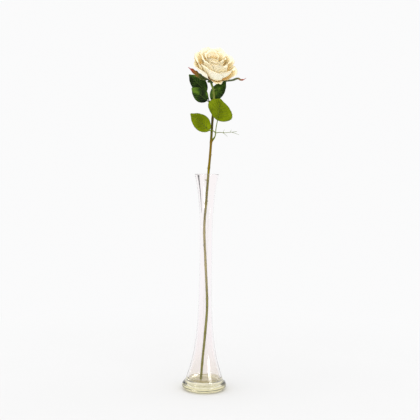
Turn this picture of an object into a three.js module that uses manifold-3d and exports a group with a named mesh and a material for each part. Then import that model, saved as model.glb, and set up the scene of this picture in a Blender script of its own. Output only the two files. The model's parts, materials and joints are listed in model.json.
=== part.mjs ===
// A tall glass bud vase holding one artificial rose.
// Millimetres, +Z up. The origin is the centre of the flat underside of the vase's foot.
// The vase is a blown flute on a thick round foot. The rose stands in it and lifts out:
// a wire-cored plastic stem, a push-on head of separate fabric petals, and two leaf sprays
// that plug into the side of the stem.
import * as THREE from "three";
import { mergeVertices } from "three/addons/utils/BufferGeometryUtils.js";
import Module from "manifold-3d";

const wasm = await Module();
wasm.setup();

// ---- driving dimensions: vase ----
const VASE_HEIGHT = 400;
const NECK_HEIGHT = 250;
const NECK_R = 11.6;
const RIM_R = 22.4;
const RIM_FLARE_POWER = 3.3;
const FLARE_R = 36;
const FOOT_FLARE_POWER = 3.8;
const FOOT_THICK = 15;
const FOOT_R = 41.3;
const FOOT_EDGE = 8.3;
const CORNER_R = 7;
const WALL_TOP = 2.1;
const WALL_FOOT = 4;
const WALL_STEPS = 13;
const VASE_SIDES = 24;

// ---- driving dimensions: rose ----
const STEM_R = 2.1;
const WIRE_R = 0.8;
const BORE_R = 1.1;
const STEM_STEPS = 38;
const TUBE_SIDES = 8;
const BLOOM_NOD = THREE.MathUtils.degToRad(42);
const BLOOM_LEAN = THREE.MathUtils.degToRad(4);
const BLOOM_BASE = new THREE.Vector3(6.5, -8, 576);
const PEG_START = 10.5;
const PEG_END = 2.2;
const SOCKET_R = 2.7;
const PIN_R = 1;
const PETAL_THICK = 0.6;
const LEAF_THICK = 0.7;
const STALK_R = 0.8;
const MIDRIB_R = 0.6;
const SIDE_RIB_R = 0.5;
const GAP = 0.35;

// ---- colours and finishes ----
const COLOURS = {
  wall_glass: { color: 0xf3e8e8, roughness: 0.03, metalness: 0, transparent: true, opacity: 0.35 },
  foot_glass: { color: 0xd8cfa0, roughness: 0.03, metalness: 0, transparent: true, opacity: 0.45 },
  stem_plastic: { color: 0x7d7838, roughness: 0.55, metalness: 0 },
  steel: { color: 0x8d8f90, roughness: 0.35, metalness: 1 },
  calyx_plastic: { color: 0x3f5a20, roughness: 0.5, metalness: 0 },
  petal_fabric: { color: 0xf7e8c8, roughness: 0.85, metalness: 0 },
  foam: { color: 0xe9d9a0, roughness: 0.9, metalness: 0 },
  light_leaf: { color: 0x7d8f22, roughness: 0.7, metalness: 0 },
  dark_leaf: { color: 0x1d3d12, roughness: 0.45, metalness: 0 },
};

const group = new THREE.Group();
const bloom = new THREE.Group();
bloom.position.copy(BLOOM_BASE);
bloom.rotation.set(BLOOM_NOD, BLOOM_LEAN, 0);
group.add(bloom);

function add(parent, name, geometry, finish) {
  const mesh = new THREE.Mesh(geometry, new THREE.MeshStandardMaterial(COLOURS[finish]));
  mesh.name = name;
  parent.add(mesh);
  return mesh;
}

// ---- shape helpers ----

// A solid of revolution about Z from [radius, height] points that go up the outside.
function lathe(points, sides) {
  const geometry = new THREE.LatheGeometry(points.map(([r, z]) => new THREE.Vector2(r, z)), sides);
  return geometry.rotateX(Math.PI / 2);
}

// A round section, with an optional round bore.
function disc(radius, bore = 0, sides = TUBE_SIDES) {
  const ring = (r) => {
    const points = [];
    for (let i = 0; i < sides; i++) {
      const a = (i / sides) * 2 * Math.PI;
      points.push(new THREE.Vector2(r * Math.cos(a), r * Math.sin(a)));
    }
    return points;
  };
  const shape = new THREE.Shape(ring(radius));
  if (bore) shape.holes.push(new THREE.Path(ring(bore).reverse()));
  return shape;
}

function sweep(shape, curve, steps) {
  return new THREE.ExtrudeGeometry(shape, { steps, extrudePath: curve, curveSegments: 1 });
}

function curveThrough(points) {
  return new THREE.CatmullRomCurve3(points.map((p) => new THREE.Vector3(...p)), false, "centripetal");
}

function toManifold(geometry) {
  const bare = geometry.clone();
  bare.deleteAttribute("normal");
  bare.deleteAttribute("uv");
  const merged = mergeVertices(bare, 1e-4);
  const vertProperties = new Float32Array(merged.attributes.position.array);
  const triVerts = new Uint32Array(merged.index.array);
  return new wasm.Manifold(new wasm.Mesh({ numProp: 3, vertProperties, triVerts }));
}

function toGeometry(solid) {
  const mesh = solid.getMesh();
  const geometry = new THREE.BufferGeometry();
  geometry.setAttribute("position", new THREE.BufferAttribute(mesh.vertProperties, 3));
  geometry.setIndex(new THREE.BufferAttribute(mesh.triVerts, 1));
  geometry.computeVertexNormals();
  return geometry;
}

function join(geometries) {
  return toGeometry(geometries.map(toManifold).reduce((a, b) => a.add(b)));
}

// A thin closed blade. surface(u, v) gives a point for u in -1..1 across and v in 0..1 along;
// the blade is thickened both ways along the surface's own normal.
function blade(surface, thick, across, along) {
  const positions = [];
  const index = [];
  const step = 1e-3;
  const stride = along + 1;
  const sideCount = (across + 1) * stride;
  for (const side of [-0.5, 0.5]) {
    for (let i = 0; i <= across; i++) {
      for (let j = 0; j <= along; j++) {
        const u = (2 * i) / across - 1;
        const v = j / along;
        const du = surface(u + step, v).sub(surface(u - step, v));
        const dv = surface(u, v + step).sub(surface(u, v - step));
        const normal = du.cross(dv).normalize();
        positions.push(...surface(u, v).addScaledVector(normal, side * thick).toArray());
      }
    }
  }
  const quad = (a, b, c, d) => index.push(a, b, c, a, c, d);
  const at = (side, i, j) => side * sideCount + i * stride + j;
  for (let i = 0; i < across; i++) {
    for (let j = 0; j < along; j++) {
      quad(at(1, i, j), at(1, i + 1, j), at(1, i + 1, j + 1), at(1, i, j + 1));
      quad(at(0, i, j), at(0, i, j + 1), at(0, i + 1, j + 1), at(0, i + 1, j));
    }
  }
  for (let i = 0; i < across; i++) {
    quad(at(0, i, 0), at(0, i + 1, 0), at(1, i + 1, 0), at(1, i, 0));
    quad(at(1, i, along), at(1, i + 1, along), at(0, i + 1, along), at(0, i, along));
  }
  for (let j = 0; j < along; j++) {
    quad(at(1, 0, j), at(1, 0, j + 1), at(0, 0, j + 1), at(0, 0, j));
    quad(at(0, across, j), at(0, across, j + 1), at(1, across, j + 1), at(1, across, j));
  }
  const geometry = new THREE.BufferGeometry();
  geometry.setAttribute("position", new THREE.Float32BufferAttribute(positions, 3));
  geometry.setIndex(index);
  geometry.computeVertexNormals();
  return geometry;
}

// ---- vase ----

// Outer radius of the flute: a slim neck that flares to the rim above and to the foot below.
function fluteRadius(z) {
  if (z > NECK_HEIGHT) {
    const t = (z - NECK_HEIGHT) / (VASE_HEIGHT - NECK_HEIGHT);
    return NECK_R + (RIM_R - NECK_R) * t ** RIM_FLARE_POWER;
  }
  const t = (NECK_HEIGHT - z) / (NECK_HEIGHT - FOOT_THICK);
  return NECK_R + (FLARE_R - NECK_R) * t ** FOOT_FLARE_POWER;
}

function wallThickness(z) {
  const t = Math.max(0, (NECK_HEIGHT - z) / (NECK_HEIGHT - FOOT_THICK));
  return WALL_TOP + (WALL_FOOT - WALL_TOP) * t * t;
}

// The wall is a tube: the foot's top is the floor inside it, and a fillet meets that floor.
function makeVaseWall() {
  const outer = [];
  const inner = [];
  for (let i = 0; i <= WALL_STEPS; i++) {
    // cosine spacing puts the points where the flares bend
    const share = (1 - Math.cos((Math.PI * i) / WALL_STEPS)) / 2;
    const zOut = THREE.MathUtils.lerp(FOOT_THICK, VASE_HEIGHT - 1, share);
    const zIn = THREE.MathUtils.lerp(FOOT_THICK + CORNER_R, VASE_HEIGHT - 1, share);
    outer.push([fluteRadius(zOut), zOut]);
    inner.unshift([fluteRadius(zIn) - wallThickness(zIn), zIn]);
  }
  const rim = [[RIM_R - WALL_TOP / 2, VASE_HEIGHT]];
  const innerFoot = inner[inner.length - 1][0];
  const corner = [];
  for (const share of [1 / 3, 2 / 3, 1]) {
    const a = (share * Math.PI) / 2;
    corner.push([innerFoot - CORNER_R * (1 - Math.cos(a)), FOOT_THICK + CORNER_R * (1 - Math.sin(a))]);
  }
  const start = corner[corner.length - 1];
  return lathe([start, ...outer, ...rim, ...inner, ...corner], VASE_SIDES);
}

function makeVaseFoot() {
  const half = FOOT_THICK / 2;
  const edge = [];
  for (let i = 0; i <= 6; i++) {
    const a = -Math.PI / 2 + (Math.PI * i) / 6;
    edge.push([FOOT_R - FOOT_EDGE * (1 - Math.cos(a)), half + half * Math.sin(a)]);
  }
  return lathe([[0, 0], ...edge, [0, FOOT_THICK]], VASE_SIDES * 1.5);
}

add(group, "vase_wall", makeVaseWall(), "wall_glass");
add(group, "vase_foot", makeVaseFoot(), "foot_glass");

// ---- stem ----

const bloomAxis = new THREE.Vector3(0, 0, 1).applyEuler(bloom.rotation);
const belowBloom = (depth) => BLOOM_BASE.clone().addScaledVector(bloomAxis, -depth);
const STEM_ROUTE = [
  [-6.2, 1.2, 15.5],
  [-3.4, 0.8, 55],
  [0.2, 0, 97],
  [3.6, -0.8, 150],
  [2.4, -1, 190],
  [-0.6, 0, 240],
  [-3.6, 0.6, 302],
  [-0.7, 0.6, 350],
  [2.6, 0, 400],
  [5.8, -0.6, 442],
  [7.8, 0, 480],
  [10.6, 2.4, 534],
  [11, 4.6, 548],
  [9.6, 5.4, 557],
  belowBloom(15).toArray(),
  belowBloom(PEG_START).toArray(),
];
const stemCurve = curveThrough(STEM_ROUTE);

// The point and direction of the stem's centreline at a height.
function stemAt(z) {
  let low = 0;
  let high = 1;
  for (let i = 0; i < 30; i++) {
    const mid = (low + high) / 2;
    if (stemCurve.getPoint(mid).z < z) low = mid;
    else high = mid;
  }
  return stemCurve.getPoint(low);
}

// A thorn: a small cone that leaves the stem sideways and a little up.
function makeThorn(z, azimuth, length) {
  const root = stemAt(z);
  const out = new THREE.Vector3(Math.cos(azimuth), Math.sin(azimuth), 0.45).normalize();
  const cone = new THREE.ConeGeometry(1.3, length + STEM_R, 6);
  cone.translate(0, (length + STEM_R) / 2, 0);
  cone.applyQuaternion(new THREE.Quaternion().setFromUnitVectors(new THREE.Vector3(0, 1, 0), out));
  cone.translate(...root.addScaledVector(out, 0.4).toArray());
  return cone;
}

// The two short pegs that the leaf sprays plug onto.
const LOWER_ROOT = stemAt(459);
const LOWER_DIRECTION = new THREE.Vector3(0.55, -0.28, 0.8).normalize();
const UPPER_ROOT = stemAt(522);
const UPPER_DIRECTION = new THREE.Vector3(-0.3, 0.75, 0.6).normalize();
const SPRAY_PEG_R = 0.8;
const SPRAY_PEG_LENGTH = 10;
const SPRAY_SLEEVE_START = 6.4;
const SPRAY_SLEEVE_R = 1.7;
const SPRAY_RIB_R = 1.1;

function makePeg(root, direction) {
  const end = root.clone().addScaledVector(direction, SPRAY_PEG_LENGTH);
  const start = root.clone().addScaledVector(direction, 0.9);
  const collar = root.clone().addScaledVector(direction, SPRAY_SLEEVE_START - GAP);
  return [
    sweep(disc(SPRAY_PEG_R, 0, 12), new THREE.LineCurve3(start, end), 1),
    sweep(disc(SPRAY_SLEEVE_R, 0, 12), new THREE.LineCurve3(start, collar), 1),
  ];
}

function makeSheath() {
  const tube = toManifold(sweep(disc(STEM_R, BORE_R), stemCurve, STEM_STEPS));
  const bore = toManifold(sweep(disc(BORE_R), stemCurve, STEM_STEPS));
  const headPeg = new THREE.LineCurve3(belowBloom(PEG_START + 0.4), belowBloom(PEG_END));
  const extras = [
    sweep(disc(STEM_R, 0, 12), headPeg, 1),
    makeThorn(389, Math.PI, 2.6),
    makeThorn(411, Math.PI * 0.85, 1.4),
    makeThorn(350, 0.3, 1.6),
    makeThorn(557, -0.3, 3.4),
    ...makePeg(LOWER_ROOT, LOWER_DIRECTION),
    ...makePeg(UPPER_ROOT, UPPER_DIRECTION),
  ].map(toManifold).reduce((a, b) => a.add(b));
  return toGeometry(tube.add(extras.subtract(bore)));
}

add(group, "stem_sheath", makeSheath(), "stem_plastic");
add(group, "stem_wire", sweep(disc(WIRE_R), stemCurve, STEM_STEPS), "steel");

// ---- rose head, in the bloom's own frame: +Z is its axis, and 0 is where the petals are glued ----

// Each ring of petals: how many go round, the first one's azimuth in degrees, a petal's width,
// its profile of [radius, height] from the glued end to the free edge, and the weave, which is
// how far its two long edges pass outside and inside the neighbours. Petals with no weave lie
// side by side. The head is lopsided: sag lowers a ring on its +X side and raises the other side,
// per unit of X, shift moves it in X and Y, and lift is how many degrees its -X side closes up.
// A petal named in short has that share of the ring's length and width.
const PETAL_RINGS = [
  {
    name: "petal_centre",
    count: 3,
    first: 20,
    width: 24,
    weave: 1.1,
    profile: [[2.7, 7.6], [6.8, 14], [9, 28], [8, 41], [9, 48]],
    sag: 0,
    shift: [0, 0],
    lift: 0,
  },
  {
    name: "petal_inner",
    count: 5,
    first: 38,
    width: 26,
    weave: 1.4,
    profile: [[3.2, 5.7], [10.5, 11], [15.4, 25], [16, 40], [19.4, 50]],
    sag: 0.04,
    shift: [1.6, 2],
    lift: 3,
  },
  {
    name: "petal_middle",
    count: 5,
    first: 2,
    width: 38,
    weave: 1.6,
    profile: [[3.6, 3.8], [13.5, 8.6], [22, 22], [25, 37], [29.5, 47.5]],
    sag: 0.1,
    shift: [2.6, 3.2],
    lift: 5,
  },
  {
    name: "petal_open",
    count: 5,
    first: 38,
    width: 47,
    weave: 1.6,
    profile: [[4, 1.9], [17, 5.5], [28.4, 17], [34, 30], [38.6, 38]],
    sag: 0.15,
    shift: [2.4, 5.4],
    lift: 5,
  },
  {
    name: "petal_guard",
    count: 5,
    first: 2,
    width: 46,
    weave: 0,
    profile: [[4.4, 0.4], [18, 2.2], [30.6, 9.4], [38, 19.4], [41.8, 25.4]],
    sag: 0.18,
    shift: [2, 6.4],
    lift: 6.5,
    short: { 5: 0.5 },
  },
];

// A petal's half width as a share of its widest, from the glued end to the free edge.
function petalOutline(along) {
  const widest = 0.62;
  const reach = along < widest ? widest * 1.02 : 0.44;
  const away = Math.min(1, Math.abs(along - widest) / reach);
  return Math.sqrt(1 - away * away) * 0.93 + 0.07;
}

function petalSurface(ring, index) {
  const curve = new THREE.SplineCurve(ring.profile.map(([r, z]) => new THREE.Vector2(r, z)));
  const base = new THREE.Vector2(...ring.profile[0]);
  const origin = new THREE.Vector2();
  const spacing = (2 * Math.PI) / ring.count;
  const azimuth = THREE.MathUtils.degToRad(ring.first) + index * spacing;
  const lift = THREE.MathUtils.degToRad(ring.lift);
  const size = ring.short?.[index + 1] ?? 1;
  return (u, v) => {
    const along = THREE.MathUtils.clamp(v * (1 - 0.13 * Math.abs(u) ** 3), 0, 1);
    const p = curve.getPoint(along * size);
    const t = curve.getTangent(along * size);
    // beside the glued end a petal keeps to its own share of the ring
    const room = (spacing / 2) * (ring.weave ? 0.82 + 4 * Math.max(0, along - 0.25) : 0.94);
    const halfAngle = Math.min((size * ring.width / 2) * petalOutline(along) / p.x, room);
    const a = azimuth + u * halfAngle;
    const closing = lift * THREE.MathUtils.smoothstep(-Math.cos(a), -0.2, 0.7);
    p.rotateAround(base, closing);
    t.rotateAround(origin, closing);
    const out = u * ring.weave * THREE.MathUtils.smoothstep(along, 0.04, 0.26);
    const r = p.x + t.y * out;
    const lopsided = THREE.MathUtils.smoothstep(r, 4, 18);
    const x = r * Math.cos(a);
    const z = p.y - t.x * out - ring.sag * x * lopsided;
    const y = r * Math.sin(a);
    return new THREE.Vector3(x + ring.shift[0] * lopsided, y + ring.shift[1] * lopsided, z);
  };
}

for (const ring of PETAL_RINGS) {
  for (let i = 0; i < ring.count; i++) {
    add(bloom, `${ring.name}_${i + 1}`, blade(petalSurface(ring, i), PETAL_THICK, 5, 5), "petal_fabric");
  }
}

// The stiff centre that the petals are glued round, with the pin that plugs into the calyx.
function makeBudCore() {
  const cone = [[3.8, 0], [3.4, 1.9], [3, 3.8], [2.5, 5.7], [2.1, 7.6]];
  const bud = [[3.6, 12], [5.6, 22], [5.2, 32], [3, 40], [0, 43]];
  return lathe([[0, -1.1], [PIN_R, -1.1], [PIN_R, 0], ...cone, ...bud], 12);
}
add(bloom, "bud_core", makeBudCore(), "foam");

// The calyx: a cup with the socket for the stem's peg, and five pointed sepals, one moulding.
// twist turns a sepal's outer part about its own length, in degrees.
const SEPALS = [
  { azimuth: 176, profile: [[3.6, -2.6], [17, -1.6], [31, 7.6], [44.5, 17.8]], width: 11, twist: -40 },
  { azimuth: 240, profile: [[3.6, -2.6], [7, -3.2], [10.5, -3], [14, -1.6]], width: 7 },
  { azimuth: 310, profile: [[3.6, -2.6], [8, -3.4], [12, -3.8], [15, -4.8]], width: 5 },
  {
    azimuth: 357,
    profile: [[3.6, -2.6], [18, -3], [36, -0.4], [47, 5], [53, 3], [58, 4], [63, 8.4]],
    width: 7,
  },
  { azimuth: 80, profile: [[3.6, -2.6], [13, -3], [22, -2.4], [31, -0.6]], width: 8 },
];

function sepalSurface({ azimuth, profile, width, twist = 0 }) {
  const curve = new THREE.SplineCurve(profile.map(([r, z]) => new THREE.Vector2(r, z)));
  const turn = THREE.MathUtils.degToRad(azimuth);
  const lean = THREE.MathUtils.degToRad(twist);
  return (u, v) => {
    const p = curve.getPoint(THREE.MathUtils.clamp(v, 0, 1));
    const half = (width / 2) * (0.16 + 0.84 * Math.sin(Math.PI * (0.16 + 0.78 * v)));
    const turned = lean * THREE.MathUtils.smoothstep(v, 0.1, 0.6);
    const side = u * half;
    const z = p.y + side * Math.sin(turned) - 0.5 * u * u;
    return new THREE.Vector3(p.x, side * Math.cos(turned), z).applyAxisAngle(new THREE.Vector3(0, 0, 1), turn);
  };
}

function makeCalyx() {
  const cup = lathe([
    [PIN_R + GAP, -1.4],
    [SOCKET_R, -1.4],
    [SOCKET_R, -9],
    [SOCKET_R + 0.7, -9],
    [4.3, -6],
    [5, -3],
    [4.6, -0.4],
    [PIN_R + GAP, -0.4],
    [PIN_R + GAP, -1.4],
  ], 16);
  const blades = SEPALS.map((sepal) => blade(sepalSurface(sepal), 0.8, 2, 6));
  return join([cup, ...blades]);
}
add(bloom, "calyx", makeCalyx(), "calyx_plastic");

// ---- leaf sprays ----

// A leaf blade from its base to its tip. face is the side that its upper surface looks to,
// fold lifts the two halves into a shallow V, and droop bends the tip back. sink moves a point
// off the blade, out through its underside.
function leafSurface({ base, tip, face, width, fold, droop }, sink = 0) {
  const from = new THREE.Vector3(...base);
  const along = new THREE.Vector3(...tip).sub(from);
  const length = along.length();
  along.normalize();
  const across = new THREE.Vector3(...face).cross(along).normalize();
  const up = along.clone().cross(across).normalize();
  return (u, v) => {
    const swell = Math.sin(Math.PI * (0.02 + 0.96 * Math.max(v, 0) ** 0.8));
    const half = (width / 2) * swell ** 0.8;
    const lift = fold * Math.abs(u) * half + droop * v * (1 - v) * length - sink;
    return from.clone()
      .addScaledVector(along, v * length)
      .addScaledVector(across, u * half)
      .addScaledVector(up, lift);
  };
}

const LOWER_LEAVES = {
  lower_leaf_left: {
    base: [3.4, -6.6, 480.5], tip: [-31.5, -10, 510.5], face: [0.2, 1, 0.3], width: 32, fold: 0.1, droop: 0.1,
  },
  lower_leaf_top: {
    base: [18.4, -8, 499], tip: [22.3, -38, 535], face: [0.61, 0.67, 0.43], width: 58, fold: 0.1, droop: 0.1,
  },
};
const UPPER_LEAVES = {
  upper_leaf_left: {
    base: [-1.6, 7, 537], tip: [-30.6, 1, 558.8], face: [-0.1, -1, 0.35], width: 29, fold: 0.12, droop: 0.12,
  },
  upper_leaf_right: {
    base: [6.6, 10, 538.5], tip: [33, 9, 573.5], face: [0, -1, 0.3], width: 26, fold: 0.14, droop: 0.12,
  },
  upper_leaf_tip: {
    base: [-3.4, 11.5, 554], tip: [-36, 9, 585], face: [-0.1, -1, 0.3], width: 29, fold: 0.12, droop: 0.12,
  },
};

for (const [name, leaf] of Object.entries(LOWER_LEAVES)) {
  add(group, name, blade(leafSurface(leaf), LEAF_THICK, 4, 7), "light_leaf");
}
for (const [name, leaf] of Object.entries(UPPER_LEAVES)) {
  add(group, name, blade(leafSurface(leaf), LEAF_THICK, 4, 7), "dark_leaf");
}

// The route of the rib that is glued along a leaf's underside.
function midrib(leaf) {
  const under = leafSurface(leaf, LEAF_THICK / 2 + GAP + MIDRIB_R);
  return [0, 0.2, 0.5, 0.82].map((v) => under(0, v).toArray());
}

// The sleeve that plugs onto a peg of the stem.
function makeSleeve(root, direction, end) {
  const start = root.clone().addScaledVector(direction, SPRAY_SLEEVE_START);
  const stop = root.clone().addScaledVector(direction, end);
  return sweep(disc(SPRAY_SLEEVE_R, 0, 12), new THREE.LineCurve3(start, stop), 1);
}

function makeSocket(root, direction) {
  const start = root.clone().addScaledVector(direction, SPRAY_SLEEVE_START - 1);
  const stop = root.clone().addScaledVector(direction, SPRAY_PEG_LENGTH + GAP);
  return sweep(disc(SPRAY_PEG_R + GAP, 0, 12), new THREE.LineCurve3(start, stop), 1);
}

// A spray's plastic moulding: the sleeve, and round ribs swept along their routes.
function makeRibs(root, direction, routes) {
  const sleeveEnd = SPRAY_PEG_LENGTH + 1.6;
  const start = root.clone().addScaledVector(direction, sleeveEnd - 1).toArray();
  let solid = toManifold(makeSleeve(root, direction, sleeveEnd));
  for (const { radius, points, steps } of routes(start)) {
    solid = solid.add(toManifold(sweep(disc(radius, 0, 6), curveThrough(points), steps)));
  }
  return toGeometry(solid.subtract(toManifold(makeSocket(root, direction))));
}

const LOWER_FORK = [14.9, -8.8, 476];
const UPPER_FORK = [2, 12.2, 536];

function lowerRoutes(start) {
  const left = midrib(LOWER_LEAVES.lower_leaf_left);
  const top = midrib(LOWER_LEAVES.lower_leaf_top);
  const bare = [LOWER_FORK, [22.6, -9, 477], [34, -9.6, 476.6], [54.1, -11, 479]];
  const sideRibs = [
    [[28.4, -9.2, 476.6], [31, -9.8, 482.5]],
    [[28.4, -9.2, 476.6], [37.3, -9.8, 469.3]],
    [[41.5, -10, 477.2], [43.9, -10.5, 482.5]],
    [[45, -10.2, 477.6], [58.7, -11, 472.8]],
  ];
  return [
    { radius: SPRAY_RIB_R, points: [start, [14.4, -7.6, 471.5], LOWER_FORK], steps: 3 },
    { radius: STALK_R, points: [LOWER_FORK, [15.8, -9.6, 486], top[0]], steps: 3 },
    { radius: STALK_R, points: [LOWER_FORK, [10, -9.2, 480], left[0]], steps: 3 },
    { radius: STALK_R, points: bare, steps: 5 },
    ...sideRibs.map((points) => ({ radius: SIDE_RIB_R, points, steps: 1 })),
    { radius: MIDRIB_R, points: left, steps: 4 },
    { radius: MIDRIB_R, points: top, steps: 4 },
  ];
}

function upperRoutes(start) {
  const [left, right, tip] = Object.values(UPPER_LEAVES).map(midrib);
  return [
    { radius: SPRAY_RIB_R, points: [start, [4, 11.4, 531.4], UPPER_FORK], steps: 3 },
    { radius: STALK_R, points: [UPPER_FORK, left[0]], steps: 1 },
    { radius: STALK_R, points: [UPPER_FORK, right[0]], steps: 1 },
    { radius: STALK_R, points: [UPPER_FORK, [0, 14, 545], tip[0]], steps: 3 },
    ...[left, right, tip].map((points) => ({ radius: MIDRIB_R, points, steps: 4 })),
  ];
}

add(group, "lower_ribs", makeRibs(LOWER_ROOT, LOWER_DIRECTION, lowerRoutes), "light_leaf");
add(group, "upper_ribs", makeRibs(UPPER_ROOT, UPPER_DIRECTION, upperRoutes), "dark_leaf");

export default group;
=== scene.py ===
"""A tall clear glass bud vase holding one artificial cream rose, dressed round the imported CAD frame."""

import json
import math
import random

import bpy
from mathutils import Matrix, Vector, noise


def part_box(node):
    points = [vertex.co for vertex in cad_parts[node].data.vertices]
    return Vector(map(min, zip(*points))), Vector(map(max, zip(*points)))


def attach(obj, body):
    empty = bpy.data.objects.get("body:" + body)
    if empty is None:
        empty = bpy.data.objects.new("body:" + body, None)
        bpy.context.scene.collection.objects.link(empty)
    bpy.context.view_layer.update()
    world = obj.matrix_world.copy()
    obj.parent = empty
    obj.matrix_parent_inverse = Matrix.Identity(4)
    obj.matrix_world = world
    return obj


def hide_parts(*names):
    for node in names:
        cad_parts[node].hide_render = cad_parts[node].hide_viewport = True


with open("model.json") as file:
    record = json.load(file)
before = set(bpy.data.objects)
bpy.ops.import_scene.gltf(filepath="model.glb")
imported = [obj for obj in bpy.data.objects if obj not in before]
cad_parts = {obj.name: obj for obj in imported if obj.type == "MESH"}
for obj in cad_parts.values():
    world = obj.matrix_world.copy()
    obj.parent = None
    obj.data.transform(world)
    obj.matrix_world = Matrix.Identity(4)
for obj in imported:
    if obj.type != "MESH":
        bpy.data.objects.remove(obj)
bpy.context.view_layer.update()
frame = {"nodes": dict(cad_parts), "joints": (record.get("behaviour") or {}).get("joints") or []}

MM = 0.001
TAU = 2 * math.pi


# ---------------------------------------------------------------- small helpers

def smoothstep(x, low, high):
    t = min(1.0, max(0.0, (x - low) / (high - low)))
    return t * t * (3 - 2 * t)


def lerp(a, b, t):
    return a + (b - a) * t


def catmull(points, t):
    """A point of the uniform Catmull-Rom spline through points, with t from 0 to 1."""
    n = len(points)
    place = (n - 1) * min(1.0, max(0.0, t))
    i = min(int(place), n - 2)
    w = place - i
    p0, p1, p2, p3 = (points[min(max(k, 0), n - 1)] for k in (i - 1, i, i + 1, i + 2))
    v0, v1 = (p2 - p0) * 0.5, (p3 - p1) * 0.5
    return ((p1 - p2) * 2 + v0 + v1) * w**3 + ((p2 - p1) * 3 - v0 * 2 - v1) * w**2 + v0 * w + p1


def hill(x, centre, width):
    return math.exp(-(((x - centre) / width) ** 2))


def make_object(name, vertices, faces, materials, face_materials=None, attributes=None):
    """A smooth-shaded mesh object. attributes maps a name to one number for each vertex."""
    mesh = bpy.data.meshes.new(name)
    mesh.from_pydata([tuple(v) for v in vertices], [], faces)
    mesh.validate()
    for material in materials:
        mesh.materials.append(material)
    mesh.polygons.foreach_set("use_smooth", [True] * len(mesh.polygons))
    if face_materials:
        mesh.polygons.foreach_set("material_index", face_materials)
    for key, values in (attributes or {}).items():
        layer = mesh.attributes.new(key, "FLOAT", "POINT")
        layer.data.foreach_set("value", values)
    obj = bpy.data.objects.new(name, mesh)
    bpy.context.scene.collection.objects.link(obj)
    return obj


class Builder:
    """Collects vertices, faces and vertex values, so that one piece can hold several closed forms."""

    def __init__(self):
        self.vertices = []
        self.faces = []
        self.face_materials = []
        self.values = {}

    def point(self, place, **values):
        self.vertices.append(place)
        for key, value in values.items():
            self.values.setdefault(key, []).append(value)
        return len(self.vertices) - 1

    def face(self, corners, material=0):
        self.faces.append(tuple(corners))
        self.face_materials.append(material)

    def band(self, low, high):
        """Faces between two rings of points. Either ring can be a single point."""
        sides = max(len(low), len(high))
        for s in range(sides):
            t = (s + 1) % sides
            if len(low) == 1:
                self.face([low[0], high[t], high[s]])
            elif len(high) == 1:
                self.face([low[s], low[t], high[0]])
            else:
                self.face([low[s], low[t], high[t], high[s]])

    def make(self, name, materials):
        return make_object(name, self.vertices, self.faces, materials, self.face_materials, self.values)


RIM_THINNING = 0.7


def add_blade(builder, surface, thick, across, along, side_0_material=0):
    """A thin closed blade: surface(u, v) for u in -1..1 and v in 0..1, thickened along its own normal
    and thinner towards its rim. Side 1 is the one that du x dv points to, and takes material 0. Side 0
    takes side_0_material."""
    step = 1e-3
    grid = {}
    for i in range(across + 1):
        for j in range(along + 1):
            u, v = 2 * i / across - 1, j / along
            du = surface(u + step, v) - surface(u - step, v)
            dv = surface(u, v + step) - surface(u, v - step)
            normal = du.cross(dv).normalized()
            middle = surface(u, v)
            rim = max(abs(u) ** 12, abs(2 * v - 1) ** 24)
            half = thick / 2 * (1 - RIM_THINNING * rim)
            for side in (0, 1):
                place = middle + normal * (half if side else -half)
                grid[side, i, j] = builder.point(place, along=v, across=u, side=float(side))
    for i in range(across):
        for j in range(along):
            top = [grid[1, i, j], grid[1, i + 1, j], grid[1, i + 1, j + 1], grid[1, i, j + 1]]
            low = [grid[0, i, j], grid[0, i, j + 1], grid[0, i + 1, j + 1], grid[0, i + 1, j]]
            builder.face(top)
            builder.face(low, side_0_material)

    def close_edge(a, b):
        builder.face([grid[(0, *a)], grid[(0, *b)], grid[(1, *b)], grid[(1, *a)]])

    for i in range(across):
        close_edge((i, 0), (i + 1, 0))
        close_edge((i + 1, along), (i, along))
    for j in range(along):
        close_edge((0, j + 1), (0, j))
        close_edge((across, j), (across, j + 1))


def add_tube(builder, centres, radius, sides=12, wobble=None):
    """A closed tube through centres. radius is a function of the share along it, and wobble a factor on
    it that depends on the angle round the tube and the centre."""
    count = len(centres)
    rings = []
    side = None
    for k, centre in enumerate(centres):
        ahead = centres[min(k + 1, count - 1)] - centres[max(k - 1, 0)]
        ahead.normalize()
        if side is None:
            side = ahead.orthogonal().normalized()
        side = (side - ahead * side.dot(ahead)).normalized()
        other = ahead.cross(side)
        share = k / (count - 1)
        ring = []
        for s in range(sides):
            a = TAU * s / sides
            out = side * math.cos(a) + other * math.sin(a)
            reach = radius(share) * (wobble(a, centre) if wobble else 1.0)
            ring.append(builder.point(centre + out * reach))
        rings.append(ring)
    for low, high in zip(rings, rings[1:]):
        builder.band(low, high)
    builder.face(list(reversed(rings[0])))
    builder.face(rings[-1])


def taper(start, end):
    """A radius for add_tube that goes evenly from start to end, in mm."""
    return lambda share: lerp(start, end, share) * MM


def smooth_route(points, step):
    """Points about step apart on the spline through points."""
    length = sum((b - a).length for a, b in zip(points, points[1:]))
    count = max(4, round(length / step))
    return [catmull(points, k / count) for k in range(count + 1)]


# ---------------------------------------------------------------- material helpers

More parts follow.
